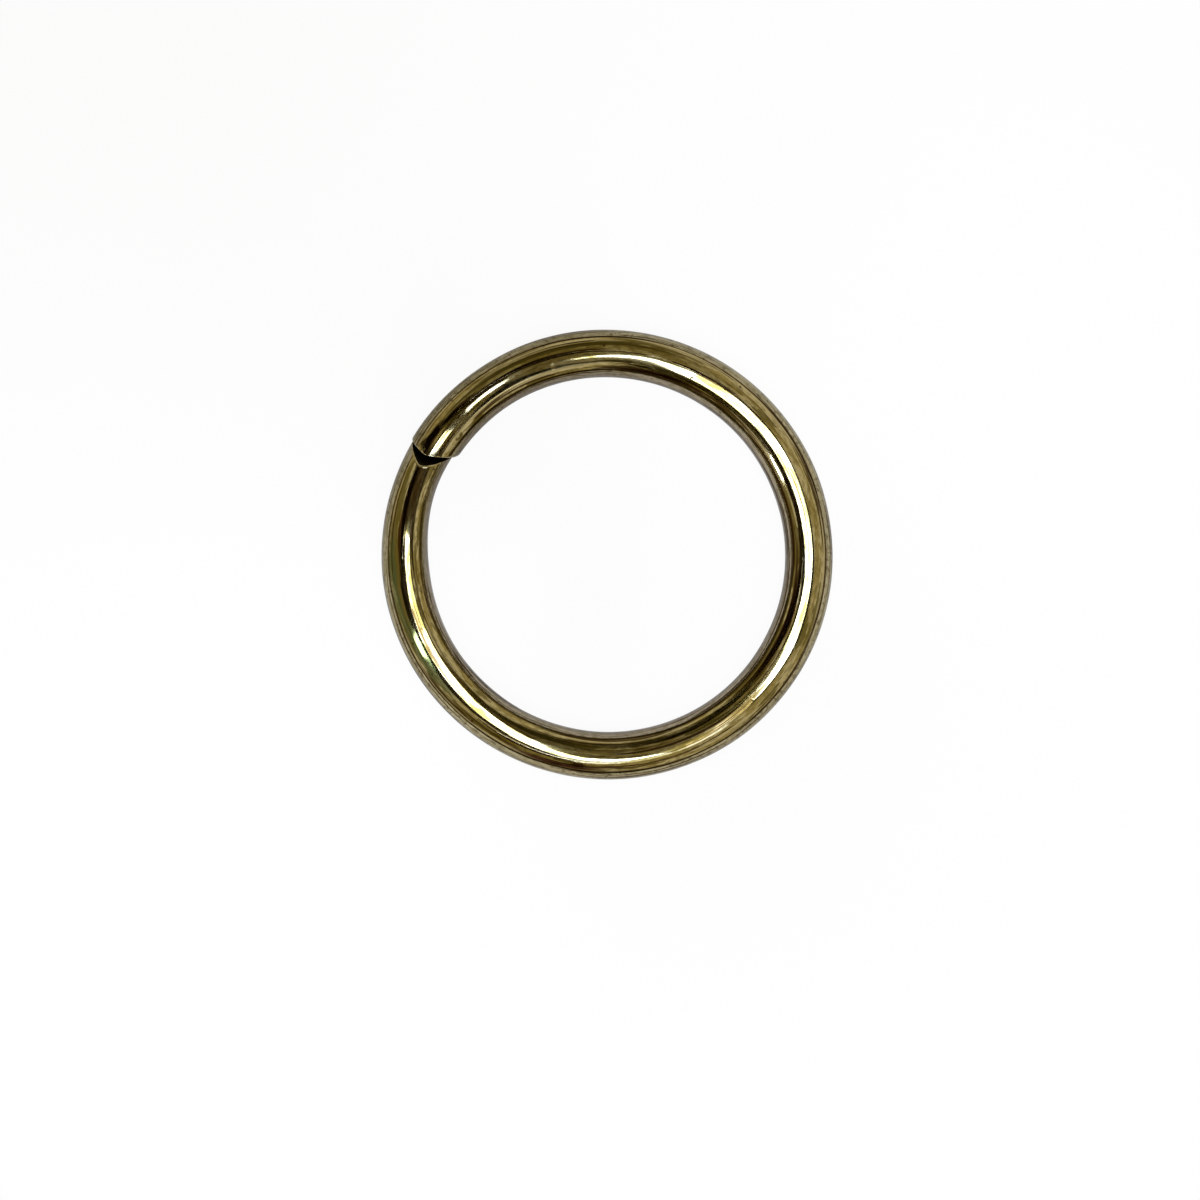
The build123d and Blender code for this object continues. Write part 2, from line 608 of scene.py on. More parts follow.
# %% A group for pits
pits, given, result = new_group(
    "pits",
    {
        "Place": (VECTOR, None),
        "Spacing": (FLOAT, 1.0),
        "Size": (FLOAT, 0.2),
        "Share": (FLOAT, 0.3),
    },
    {"Mask": FLOAT},
)
scaled = add(
    pits,
    "ShaderNodeVectorMath",
    {0: given.outputs["Place"], 3: calculate(pits, "DIVIDE", 1.0, given.outputs["Spacing"])},
    operation="SCALE",
)
cells = add(pits, "ShaderNodeTexVoronoi", {"Vector": scaled.outputs[0], "Scale": 1.0, "Randomness": 1.0})
draw = add(pits, "ShaderNodeSeparateColor", {0: cells.outputs["Color"]})
held = calculate(pits, "LESS_THAN", draw.outputs[0], given.outputs["Share"])
dot = add(
    pits,
    "ShaderNodeMapRange",
    {"Value": cells.outputs["Distance"], "From Min": given.outputs["Size"], "From Max": 0.0},
    interpolation_type="SMOOTHSTEP",
)
pits.links.new(calculate(pits, "MULTIPLY", dot.outputs[0], held), result.inputs["Mask"])
print("group", pits.name)

# %% [markdown]
# Besides the fine streaks there are marks with a place of their own. Some are long stains that the
# drum missed, and beside the joint are the marks of the closing tool, two olive spots with rubbed
# lands between them. Many are painted reflections: dark bands and outlines beside the bright band,
# where dark boards show in the metal, thin lines where the dark horizon shows, pale bands where lit
# parts of the room show, and a green-blue tint beside the small lamp's glint. Each one is an oval
# with a rippled edge. It is the distance from the oval's centre, measured in the oval's own length
# and width, with a noise added before the edge is drawn.

# %% A group for a single mark
single_mark, given, result = new_group(
    "single_mark",
    {"Place": (VECTOR, None), "Centre": (VECTOR, None), "Length": (FLOAT, 0.4), "Width": (FLOAT, 0.3)},
    {"Mask": FLOAT},
)
offset = add(
    single_mark,
    "ShaderNodeVectorMath",
    {0: given.outputs["Place"], 1: given.outputs["Centre"]},
    operation="SUBTRACT",
)
reach = add(
    single_mark,
    "ShaderNodeCombineXYZ",
    {0: given.outputs["Length"], 1: given.outputs["Width"], 2: given.outputs["Width"]},
)
scaled = add(
    single_mark,
    "ShaderNodeVectorMath",
    {0: offset.outputs[0], 1: reach.outputs[0]},
    operation="DIVIDE",
)
measured = add(single_mark, "ShaderNodeVectorMath", {0: scaled.outputs[0]}, operation="LENGTH")
distance = measured.outputs["Value"]
own_scale = add(
    single_mark,
    "ShaderNodeVectorMath",
    {0: scaled.outputs[0], 1: (1, 1, 1), 2: given.outputs["Centre"]},
    operation="MULTIPLY_ADD",
)
ripple = add(
    single_mark,
    "ShaderNodeTexNoise",
    {"Vector": own_scale.outputs[0], "Scale": 1.6, "Detail": 4.0},
)
wobble = add(
    single_mark,
    "ShaderNodeMath",
    {0: ripple.outputs["Fac"], 1: 1.4, 2: -0.7},
    operation="MULTIPLY_ADD",
)
rippled = calculate(single_mark, "ADD", distance, wobble.outputs[0])
oval = add(
    single_mark,
    "ShaderNodeMapRange",
    {"Value": rippled, "From Min": 1.1, "From Max": 0.75},
    interpolation_type="SMOOTHSTEP",
)
single_mark.links.new(oval.outputs[0], result.inputs["Mask"])
print("group", single_mark.name)

# %% [markdown]
# The finish is built up in the order in which the real one came about: two tones of brass first,
# then the stains, then what was rubbed bright again. Painted reflections of the table, the horizon
# and the studio's boards, and a painted highlight on the cut edges, go on among these layers. A
# picture of a worn surface could be wrapped round the wire instead, but it would repeat and blur,
# and these layers stay sharp close up.

# %% Colours of the finish
RUBBED_BRASS = (0.28, 0.22, 0.09, 1)
PALE_BRASS = (0.42, 0.36, 0.215, 1)
# worn brass, also used for a painted highlight on the rims and for painted pale reflections
WORN_BRASS_AND_PAINTED_LIGHT = (0.50, 0.44, 0.30, 1)
# outer flank: partly wear, partly a painted reflection of the white table
FLANK_WEAR_AND_REFLECTION_BEIGE = (0.37, 0.315, 0.20, 1)
# eye side: partly patina, partly a painted reflection of the shaded table
EYE_PATINA_AND_REFLECTION_GREY = (0.27, 0.225, 0.185, 1)
# painted reflection of the lit table, further into the eye
EYE_REFLECTION_BEIGE = (0.42, 0.36, 0.26, 1)
# olive for stains, and for painted dark reflections
OLIVE_STAIN_AND_REFLECTION = (0.10, 0.077, 0.014, 1)
# painted green-blue tint beside the small lamp's glint
GREEN_GLINT_HALO = (0.06, 0.09, 0.04, 1)
# brown for stains, and for the painted reflection of the dark horizon
BROWN_STAIN_AND_REFLECTION = (0.04, 0.02, 0.004, 1)
# black for pits and stains, and for painted dark reflections
BLACK_STAIN_AND_REFLECTION = (0.034, 0.013, 0.003, 1)
SHEEN_AT_THE_EDGE = (0.75, 0.75, 0.78, 1)  # what the metal reflects where it is seen almost edge-on

brass = bpy.data.materials.new("antique_brass")
brass.use_nodes = True
tree = brass.node_tree
shader = tree.nodes["Principled BSDF"]
print("material", brass.name)

# %% [markdown]
# A layer shows where its mask is 1 and is absent where it is 0. A few short functions make the masks
# of this material, so that each layer below can be read in one line.

# %% Helpers for the layers of the brass
place = add(tree, "ShaderNodeAttribute", attribute_name="wire_place").outputs["Vector"]
along, side, height = add(tree, "ShaderNodeSeparateXYZ", {0: place}).outputs
from_cut_mm = add(tree, "ShaderNodeAttribute", attribute_name="from_cut").outputs["Fac"]


def plus(a, b):
    """The sum of two masks or numbers."""
    return calculate(tree, "ADD", a, b)


def times(a, b):
    """The product of two masks or numbers."""
    return calculate(tree, "MULTIPLY", a, b)


def ramp(value, low_end, high_end):
    """0 at one value, 1 at another, with a soft change between."""
    values = {"Value": value, "From Min": low_end, "From Max": high_end}
    return add(tree, "ShaderNodeMapRange", values, interpolation_type="SMOOTHSTEP").outputs[0]


def between(value, first_end, last_end, soft):
    """1 between two values and 0 beyond them, with soft ends."""
    rising = ramp(value, first_end - soft, first_end + soft)
    return times(rising, ramp(value, last_end + soft, last_end - soft))


def streak(length, width, start, full, shift, detail=3.0):
    """A mask of streaks of that length and width, in millimetres."""
    values = {"Place": place, "Length": length, "Width": width}
    values |= {"Start": start, "Full": full, "Shift": shift, "Detail": detail}
    return use(tree, streaks, values).outputs[0]


def tint(tone, mask, colour, strength):
    """The tone so far, with a colour over it where the mask is."""
    return blend_colours(tree, times(mask, strength), tone, colour).outputs["Result"]


print("nodes so far", len(tree.nodes))

# %% [markdown]
# The first masks are streaks. Two tones of brass alternate in soft ones, olive stain lies in others
# much like them, and brown stain in long thin ones. Less of both stains is left on top of the wire,
# which the drum rubs hardest. A short mottle and a few specks break up what would otherwise look
# brushed on.

# %% Masks of streaks, mottle and specks
crown = ramp(height, 1.45, 1.62)  # height over the middle of the wire, in millimetres
held_back = times(crown, 0.065)
pale = streak(3.0, 0.35, start=0.46, full=0.54, shift=0.0, detail=4.0)
olive_range = {"start": plus(held_back, 0.50), "full": plus(held_back, 0.54)}
olive = streak(4.0, 0.40, **olive_range, shift=31.0, detail=5.0)
brown_range = {"start": plus(held_back, 0.555), "full": plus(held_back, 0.585)}
brown = streak(9.0, 0.16, **brown_range, shift=57.0, detail=4.0)
mottle = streak(0.5, 0.18, start=0.47, full=0.58, shift=91.0, detail=5.0)
fine = streak(9.0, 0.45, start=0.2, full=0.8, shift=3.0, detail=0.5)
specks = use(tree, pits, {"Place": place, "Spacing": 0.8, "Size": 0.18, "Share": 0.30}).outputs[0]
print("nodes with the streaks", len(tree.nodes))

# %% [markdown]
# The wire's colour changes round its section. Its outer flank is a dull beige, partly rubbed wear and
# partly a painted reflection of the white table, with small ticks across it. Towards the eye it is
# grey, partly patina and partly a painted reflection of the shaded table, with a thin dark line where
# the grey begins, which is a painted reflection of the dark horizon. That line lies a little lower
# beside the joint. Further into the eye, away from the joint, a beige band is a painted reflection of
# the lit table. Both cut edges are bright: rubbed wear, with a painted highlight where the rims catch
# the light.

# %% Masks of bands and edges
# The outer flank's beige is partly rubbed wear and partly a painted reflection of the white table.
flank_wear_and_reflection = ramp(side, 0.92, 1.25)  # millimetres outwards from the middle of the wire
ticks = streak(0.28, 0.5, start=0.58, full=0.62, shift=13.0, detail=2.0)
ticks = times(ticks, ramp(side, 0.9, 1.3))

heading_on_wire = calculate(tree, "DIVIDE", along, end_bend / MM)
joint_side = add(tree, "ShaderNodeMath", {0: heading_on_wire}, operation="COSINE").outputs[0]
eye_line = plus(side, times(joint_side, 0.07))  # joint_side is 1 at the joint and -1 opposite it
# The grey of the eye side is partly patina and partly a painted reflection of the shaded table.
eye_patina_and_reflection = ramp(eye_line, -1.24, -1.36)
# A thin brown line that is a painted reflection of the dark horizon.
painted_horizon_line = between(plus(eye_line, times(mottle, 0.03)), -1.26, -1.18, 0.03)
# A beige band further into the eye, away from the joint: a painted reflection of the lit table.
eye_painted_reflection = times(between(eye_line, -1.52, -1.32, 0.04), ramp(joint_side, 0.7, 0.0))

# The cut edges: rubbed wear, with a painted highlight on the rims.
worn_edge_and_highlight = streak(0.5, 0.4, start=0.40, full=0.55, shift=5.0)
worn_edge_and_highlight = times(ramp(from_cut_mm, 0.12, 0.03), worn_edge_and_highlight)
print("nodes with the bands", len(tree.nodes))

# %% [markdown]
# The single marks are listed, as a restorer would note them down. Each has its place: degrees
# along the ring from the joint, and a share of the way across the wire, from -1 at the eye over 0 on
# top to 1 outside. Then comes its reach along the wire and across it, in millimetres.

# %% Single marks
# Black marks: partly stain, partly painted dark reflections of boards and frame beside the bright band.
BLACK_MARKS_AND_REFLECTIONS = [
    (188, -0.42, 5.8, 0.26),
    (186, -0.54, 8, 0.09),
    (225, -0.66, 7.5, 0.12),
    (141, -0.09, 6.6, 0.09),
    (277, -0.63, 2.2, 0.16),
    (293, -0.66, 2.6, 0.13),
    (289, -0.45, 1.2, 0.08),
    (99, 0.31, 3.3, 0.08),
    (111.6, 0.44, 0.5, 0.2),
    (272, 0.05, 3.5, 0.07),
    (319, 0.12, 6, 0.09),
    (346, 0.21, 1.8, 0.13),
    (356, 0.33, 1.3, 0.2),
    (18, 0.12, 4.2, 0.22),
    (356, 0.22, 1.2, 0.16),
]
# Brown marks on top of the wire, which show as yellowish lines across the bright band.
BROWN_MARKS = [
    (222, -0.07, 3.5, 0.06),
    (55, -0.03, 3.2, 0.09),
    (236, -0.17, 2, 0.03),
    (230, 0.00, 1.5, 0.03),
    (66, 0.02, 2.4, 0.05),
    (48, -0.14, 1.5, 0.03),
    (158, 0.07, 2, 0.04),
    (153, 0.14, 1.5, 0.03),
    (163, 0.02, 1.6, 0.03),
]
# Olive marks: the thin lines near both edges are painted reflections of the dark horizon, others are
# painted dark reflections, and the small spots beside the joint are tool marks.
OLIVE_MARKS_AND_REFLECTIONS = [
    (122, 0.67, 14, 0.07),
    (317, 0.36, 10, 0.14),
    (22, 0.44, 5, 0.3),
    (45, 0.29, 5, 0.32),
    (150, -0.36, 6, 0.1),
    (290, -0.73, 12, 0.07),
    (100, -0.36, 5, 0.15),
    (180, -0.67, 7, 0.1),
    (342.3, -0.56, 0.42, 0.30),
    (344.0, -0.66, 0.8, 0.1),
    (350.9, -0.57, 0.42, 0.30),
    (348.8, -0.46, 0.5, 0.08),
]
# A painted green-blue tint beside the small lamp's glint.
GREEN_GLINT_HALO_MARKS = [
    (60, 0.33, 3.4, 0.42),
    (38, 0.50, 3.5, 0.3),
]
# Pale marks: most are painted reflections of lit parts of the room, and the small ones beside the joint
# are the rubbed lands between the tool marks.
PALE_MARKS_AND_REFLECTIONS = [
    (126, -0.60, 6.2, 0.14),
    (260, 0.59, 9, 0.18),
    (315, 0.50, 5, 0.14),
    (328, -0.47, 8, 0.24),
    (210, 0.60, 6, 0.14),
    (75, 0.60, 6, 0.12),
    (245, -0.56, 3.5, 0.16),
    (346.4, -0.55, 0.5, 0.18),
    (351.1, -0.56, 0.16, 0.11),
    (355.6, -0.56, 0.4, 0.2),
]


def marks(places):
    """The masks of several marks in one."""
    whole = 0.0
    for degrees, across, length, width in places:
        outward = across * wire_radius / MM
        upward = math.sqrt(1 - across**2) * wire_radius / MM
        centre = (math.radians(degrees) * end_bend / MM, outward, upward)
        one = use(tree, single_mark, {"Place": place, "Centre": centre, "Length": length, "Width": width})
        whole = calculate(tree, "ADD", whole, one.outputs[0], clamp=True)
    return whole


black_marks_and_reflections, brown_marks = marks(BLACK_MARKS_AND_REFLECTIONS), marks(BROWN_MARKS)
olive_marks_and_reflections, pale_marks_and_reflections = marks(OLIVE_MARKS_AND_REFLECTIONS), marks(PALE_MARKS_AND_REFLECTIONS)
green_glint_halo = marks(GREEN_GLINT_HALO_MARKS)
print("marks", sum(len(m) for m in (BLACK_MARKS_AND_REFLECTIONS, BROWN_MARKS, OLIVE_MARKS_AND_REFLECTIONS, PALE_MARKS_AND_REFLECTIONS, GREEN_GLINT_HALO_MARKS)))

# %% [markdown]
# Now the layers go on, each over the ones before it, as a mask, a colour and a strength.

# %% Layer the colours
LAYERS = [
    (olive, OLIVE_STAIN_AND_REFLECTION, 0.8),
    # outer flank: wear, and a painted reflection of the white table
    (flank_wear_and_reflection, FLANK_WEAR_AND_REFLECTION_BEIGE, 0.75),
    # eye side: patina, and a painted reflection of the shaded table
    (eye_patina_and_reflection, EYE_PATINA_AND_REFLECTION_GREY, 0.85),
    # painted reflection of the lit table
    (eye_painted_reflection, EYE_REFLECTION_BEIGE, 0.7),
    (mottle, OLIVE_STAIN_AND_REFLECTION, 0.42),
    # tool marks, and painted dark reflections
    (olive_marks_and_reflections, OLIVE_STAIN_AND_REFLECTION, 0.9),
    # painted tint beside the small lamp's glint
    (green_glint_halo, GREEN_GLINT_HALO, 0.65),
    # rubbed lands, and painted pale reflections
    (pale_marks_and_reflections, WORN_BRASS_AND_PAINTED_LIGHT, 0.6),
    (brown, BROWN_STAIN_AND_REFLECTION, 0.9),
    # brown marks that show as yellowish lines in the bright band
    (brown_marks, BROWN_STAIN_AND_REFLECTION, 0.9),
    # painted reflection of the dark horizon
    (painted_horizon_line, BROWN_STAIN_AND_REFLECTION, 0.55),
    (ticks, BROWN_STAIN_AND_REFLECTION, 0.5),
    # stains, and painted dark reflections
    (black_marks_and_reflections, BLACK_STAIN_AND_REFLECTION, 0.9),
    (specks, BLACK_STAIN_AND_REFLECTION, 1.0),
    # worn cut edges, with a painted highlight on the rims
    (worn_edge_and_highlight, WORN_BRASS_AND_PAINTED_LIGHT, 0.6),
]
tone = blend_colours(tree, pale, RUBBED_BRASS, PALE_BRASS).outputs["Result"]
for mask, colour, strength in LAYERS:
    tone = tint(tone, mask, colour, strength)
tree.links.new(tone, shader.inputs["Base Color"])
print("layers over the brass", len(LAYERS))

# %% [markdown]
# The metal is bare and polished, and only the olive stain is a touch duller. The bump stays under a
# hundredth of a millimetre: soft drawing lines, with the specks and the black marks a little sunken.

# %% Gloss and relief
POLISH, STAIN_DULLS = 0.07, 0.05
RELIEF = 0.006 * MM
rough = add(tree, "ShaderNodeMath", {0: olive, 1: STAIN_DULLS, 2: POLISH}, operation="MULTIPLY_ADD")
tree.links.new(rough.outputs[0], shader.inputs["Roughness"])
shader.inputs["Metallic"].default_value = 1.0
shader.inputs["Specular Tint"].default_value = SHEEN_AT_THE_EDGE

relief = calculate(tree, "SUBTRACT", fine, specks)
relief = calculate(tree, "SUBTRACT", relief, times(black_marks_and_reflections, 0.5))
bump = add(tree, "ShaderNodeBump", {"Height": relief, "Strength": 1.0, "Distance": RELIEF})
tree.links.new(bump.outputs[0], shader.inputs["Normal"])
print("roughness", POLISH, "to", round(POLISH + STAIN_DULLS, 2))

# %% [markdown]
# The cut was made before the ring was dipped, but the drum never reached it, so the whole bath
# colour stayed: a dull, dark, torn surface. It uses the same streaks as the wire, drawn short and
# close together, with a deeper bump.

# %% The dark torn metal of the cut
BATH_BLACK = (0.004, 0.003, 0.002, 1)
BATH_BROWN = (0.02, 0.015, 0.009, 1)
TORN_RELIEF = 0.02 * MM

torn = bpy.data.materials.new("dark_cut")
torn.use_nodes = True
tree = torn.node_tree
shader = tree.nodes["Principled BSDF"]
place = add(tree, "ShaderNodeAttribute", attribute_name="wire_place").outputs["Vector"]
torn_grain = {"Place": place, "Length": 0.5, "Width": 0.15, "Start": 0.35, "Full": 0.65}
drag = use(tree, streaks, torn_grain).outputs[0]
colour = blend_colours(tree, drag, BATH_BLACK, BATH_BROWN).outputs["Result"]
tree.links.new(colour, shader.inputs["Base Color"])
bump = add(tree, "ShaderNodeBump", {"Height": drag, "Strength": 1.0, "Distance": TORN_RELIEF})
tree.links.new(bump.outputs[0], shader.inputs["Normal"])
shader.inputs["Metallic"].default_value = 1.0
shader.inputs["Roughness"].default_value = 0.55
print("material", torn.name)

# %% [markdown]
# Both materials go on the one mesh. The torn metal belongs to the rows of the two cut faces, and all
# the rest, the rims included, is antique brass.

# %% Give each face its material
mesh.materials.append(brass)
mesh.materials.append(torn)
slots = np.zeros(len(mesh.polygons), dtype=np.int32)
face_band = FACE_ROWS * AROUND
slots[:face_band] = 1
slots[sleeve_count - face_band :] = 1
mesh.polygons.foreach_set("material_index", slots)
mesh.update()
print("materials on the ring", [m.name for m in mesh.materials])

# %% [markdown]
# ## The studio
#
# Metal shows its surroundings more than itself, so the studio is part of the finish. The ring lies
# flat on a white table and is seen from straight above. A large softbox hangs overhead, a little to
# one side, with a dark frame. Cards between it and the ring, dull side down, cover parts of it, so
# the bright band on the wire narrows, breaks and starts again. A small lamp adds a second glint.
#
# Directions on the table are measured from the ring's joint, anticlockwise, in degrees.

# %% [markdown]
# The camera looks straight down with a longish lens, as for a catalogue picture, so that the ring
# shows its true outline. Its place and lens follow from how much of the table is to be seen.

# %% Set up the camera
CAMERA_HEIGHT = 250 * MM
VIEW_WIDTH = 85.75 * MM  # of the table, across the picture
VIEW_TURN = math.radians(-150.4)  # direction on the table that points right in the picture
VIEW_SHIFT = (-0.496 * MM, -3.247 * MM)  # middle of the picture from the ring's centre, right and up

right = np.array([math.cos(VIEW_TURN), math.sin(VIEW_TURN)])
up = np.array([-right[1], right[0]])
middle = VIEW_SHIFT[0] * right + VIEW_SHIFT[1] * up
camera = bpy.data.objects.new("camera", bpy.data.cameras.new("camera"))
camera.data.sensor_width = 36
camera.data.lens = camera.data.sensor_width * CAMERA_HEIGHT / VIEW_WIDTH
camera.data.clip_start = 0.01
camera.data.clip_end = 20
camera.location = (middle[0], middle[1], ring_centre.z + CAMERA_HEIGHT)
camera.rotation_euler = (0, 0, VIEW_TURN)
bpy.context.scene.collection.objects.link(camera)
bpy.context.scene.camera = camera
bpy.context.scene.view_settings.view_transform = "Standard"
print("lens", round(camera.data.lens, 1), "mm")

# %% [markdown]
# The table is a large white sheet. The ring mirrors it and throws its shadow on it, so it has the
# plain colour of paper. Seen directly it should be clean white, and brighter lamps would spoil the
# metal. So a white glow is mixed in where the camera looks at it, and a little where metal does.

# %% Lay the table
TABLE_HALF = 3.0
TABLE_GAP = 0.01 * MM  # keeps the skin's low waves clear of the table
PAPER = (0.63, 0.60, 0.55, 1)
CLEAN_WHITE = (0.995, 0.995, 0.995, 1)
GLOW_SEEN = 0.95
GLOW_MIRRORED = 0.1

table_mesh = bpy.data.meshes.new("table")
table_z = min(low.z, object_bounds()[0][2]) - TABLE_GAP
ends = (-TABLE_HALF, TABLE_HALF)
table_mesh.from_pydata([(x, y, table_z) for y in ends for x in ends], [], [(0, 1, 3, 2)])
table = bpy.data.objects.new("table", table_mesh)
bpy.context.scene.collection.objects.link(table)

white = bpy.data.materials.new("white_table")
white.use_nodes = True
tree = white.node_tree
tree.nodes.remove(tree.nodes["Principled BSDF"])
paper = add(tree, "ShaderNodeBsdfDiffuse", {"Color": PAPER})
glow = add(tree, "ShaderNodeEmission", {"Color": CLEAN_WHITE, "Strength": 1.0})
rays = add(tree, "ShaderNodeLightPath")
seen = calculate(tree, "MAXIMUM", rays.outputs["Is Camera Ray"], rays.outputs["Is Transmission Ray"])
seen = calculate(tree, "MULTIPLY", seen, GLOW_SEEN)
mirrored = calculate(tree, "MULTIPLY", rays.outputs["Is Glossy Ray"], GLOW_MIRRORED)
shown = add(
    tree,
    "ShaderNodeMixShader",
    {0: calculate(tree, "MAXIMUM", seen, mirrored), 1: paper.outputs[0], 2: glow.outputs[0]},
)
tree.links.new(shown.outputs[0], tree.nodes["Material Output"].inputs["Surface"])
table_mesh.materials.append(white)
print("table at", round(table_z / MM, 2), "mm")

# %% [markdown]
# Each light is placed by its height and by a slope: how far to the side it is for each metre up.
# The lights hang close over the ring, as they do in small product work, so the two sides of the
# ring see them from different places and the bright band wanders round the wire. Their white is a
# little cool, which the warm room evens out.

# %% Hang the lights
COOL_WHITE = (0.80, 0.92, 1.1)
SOFTBOX_CENTRE = (134.5, 0.187)
SOFTBOX_TURN = -120
SOFTBOX_LEVEL = 11.0

# Each light: its height in mm, the direction and slope of its middle, its length and width as shares
# of its height, how far it is turned on the table, and its level.
LIGHTS = {
    "softbox": (93, SOFTBOX_CENTRE, (0.78, 0.61), SOFTBOX_TURN, SOFTBOX_LEVEL),
    "softbox_wing": (93, (97, 0.50), (0.10, 0.34), 97, SOFTBOX_LEVEL),
    "far_strip": (93, (131, 0.70), (0.60, 0.28), SOFTBOX_TURN, 1.8),
    "small_lamp": (45, (55.6, 0.95), (0.42, 0.12), 55.6, 20.0),
}


def aim(direction, slope, height):
    """A point that high over the ring, out to the side in a direction on the table, in degrees."""
    reach = slope * height
    return (reach * math.cos(math.radians(direction)), reach * math.sin(math.radians(direction)), height)


def hang_light(name, height, centre, sizes, turn, level):
    """A rectangular light that faces down, with its brightness given as a level where 1 is white."""
    lamp = bpy.data.lights.new(name, "AREA")
    lamp.shape = "RECTANGLE"
    lamp.size, lamp.size_y = sizes[0] * height, sizes[1] * height
    lamp.energy = 4 * level * lamp.size * lamp.size_y
    lamp.color = COOL_WHITE
    hung = bpy.data.objects.new(name, lamp)
    hung.location = aim(*centre, height)
    hung.rotation_euler = (0, 0, math.radians(turn))
    hung.visible_camera = False
    bpy.context.scene.collection.objects.link(hung)


for name, (height, *rest) in LIGHTS.items():
    hang_light(name, height * MM, *rest)

# %% [markdown]
# A photographer places a card by looking at the metal and moving the card until its edge shows where
# it is wanted. The cards here are placed the same way: each corner is given by the spot on the wire
# where it is to show. A line of sight from the camera is mirrored at that spot and followed up to
# the height of the card. The softbox's frame needs no such care: it is a rectangle round the light.

# %% Find the corners of the cards
LEAN = (long_radius + short_radius) / 2 / CAMERA_HEIGHT  # how far the wire seems to lean outwards


def level_rectangle(height, centre, sizes, turn):
    """The corners of a level rectangle, given as hang_light takes it."""
    middle = np.array(aim(*centre, height))
    along = np.array([math.cos(math.radians(turn)), math.sin(math.radians(turn)), 0.0])
    beside = np.array([-along[1], along[0], 0.0])
    ways = ((0.5, 0.5), (-0.5, 0.5), (-0.5, -0.5), (0.5, -0.5))
    return [middle + height * (a * sizes[0] * along + b * sizes[1] * beside) for a, b in ways]


def seen_in_wire(heading, across, height):
    """The point at a height that the camera sees mirrored at a place on the wire."""
    outward = np.array([math.cos(math.radians(heading)), math.sin(math.radians(heading)), 0.0])
    tilt = math.asin(across - LEAN)
    normal = math.sin(tilt) * outward + np.array([0.0, 0.0, math.cos(tilt)])
    spot = (long_radius + short_radius) / 2 * outward + wire_radius * normal
    sight = spot - np.array(camera.location)
    sight /= np.linalg.norm(sight)
    mirrored = sight - 2 * (sight @ normal) * normal
    return spot + mirrored * (height - spot[2]) / mirrored[2]


print("the wire seems to lean outwards by", round(LEAN, 3), "of its radius")

# %% [markdown]
# The cards are dull boards in dark and beige tones, and one of them is a scrim, a lit sheet of cloth.
# They are part of the studio and not of the ring, and the camera doesn't see them.

# %% Hang the cards
def hang_card(name, points, colour, glow=None):
    """A flat card with these corners. A card with a glow is a lit sheet."""
    material = bpy.data.materials.new(name)
    material.use_nodes = True
    surface = material.node_tree.nodes["Principled BSDF"]
    surface.inputs["Base Color"].default_value = colour
    surface.inputs["Roughness"].default_value = 0.9
    if glow:
        surface.inputs["Emission Color"].default_value = colour
        surface.inputs["Emission Strength"].default_value = glow
    card_mesh = bpy.data.meshes.new(name)
    card_mesh.from_pydata([tuple(point) for point in points], [], [tuple(range(len(points)))])
    card_mesh.materials.append(material)
    card = bpy.data.objects.new(name, card_mesh)
    card.visible_camera = False
    bpy.context.scene.collection.objects.link(card)


BLACK = (0.005, 0.004, 0.003, 1)
DARK_BOARD = (0.05, 0.03, 0.01, 1)
BEIGE = (0.48, 0.43, 0.27, 1)
OLIVE_BOARD = (0.24, 0.20, 0.09, 1)
BROWN_BOARD = (0.16, 0.11, 0.05, 1)
SCRIM = (0.60, 0.58, 0.50, 1)
SCRIM_GLOW = 3.0

# Each card: its height in mm, its colour, and where its corners are to show on the wire. That is the
# heading in degrees, and how far across as the camera sees it, -1 at the eye's edge and 1 outside.
CARDS = {
    "flag": (40.0, BEIGE, [
        (91, -0.14), (96, -0.05), (102, 0.05), (108, 0.12), (114, 0.17), (134, 0.17),
        (150, 0.05), (167, 0.02), (177, -0.03), (-176, -0.07), (-169, -0.14),
    ]),
    "arm": (40.1, DARK_BOARD, [
        (-66, 0.07), (-50, 0.08), (-32, 0.02), (-16, 0.02), (-9, 0.18), (-2, 0.27),
        (1, 0.03), (20, -0.02), (35, 0.00), (45, 0.06), (54, 0.10), (46, 0.16),
        (30, 0.16), (15, 0.26), (2, 0.35), (-1, 0.58), (-9, 0.38), (-18, 0.25),
        (-35, 0.22), (-52, 0.17),
    ]),
    "wing": (40.4, BEIGE, [
        (-94, 0.12), (-84, 0.02), (-76, -0.04), (-68, -0.08), (-44, -0.10), (-42, -0.20),
        (-29, -0.20), (-29, 0.07), (-50, 0.09), (-80, 0.07),
    ]),
    "cap": (15.3, OLIVE_BOARD, [
        (-16, -0.20), (-7, -0.20), (-6, 0.14), (-16, 0.10),
    ]),
    "near_card": (15.2, BROWN_BOARD, [
        (1, -0.40), (21, -0.40), (23, 0.03), (1, 0.05),
    ]),
    "land_card": (15.1, BEIGE, [
        (-50, -0.12), (-46, 0.06), (-31, 0.06), (-29, -0.09), (-17, -0.09), (-14, -0.19),
        (-1, -0.19), (-1, -0.38), (-48, -0.38),
    ]),
    "trim": (90.0, DARK_BOARD, [
        (-136, -0.19), (-130, -0.20), (-120, -0.20), (-110, -0.22), (-102, -0.25), (-88, -0.25),
        (-88, -0.34), (-142, -0.34), (-142, -0.24),
    ]),
    "side_card": (15.0, OLIVE_BOARD, [
        (62, -0.22), (74, -0.16), (86, -0.11), (96, -0.05), (112, -0.05), (112, -0.34),
        (62, -0.34),
    ]),
    "far_card": (14.9, OLIVE_BOARD, [
        (-88, -0.25), (-68, -0.20), (-68, -0.38), (-88, -0.38),
    ]),
}
SCRIM_HEIGHT = 40.2
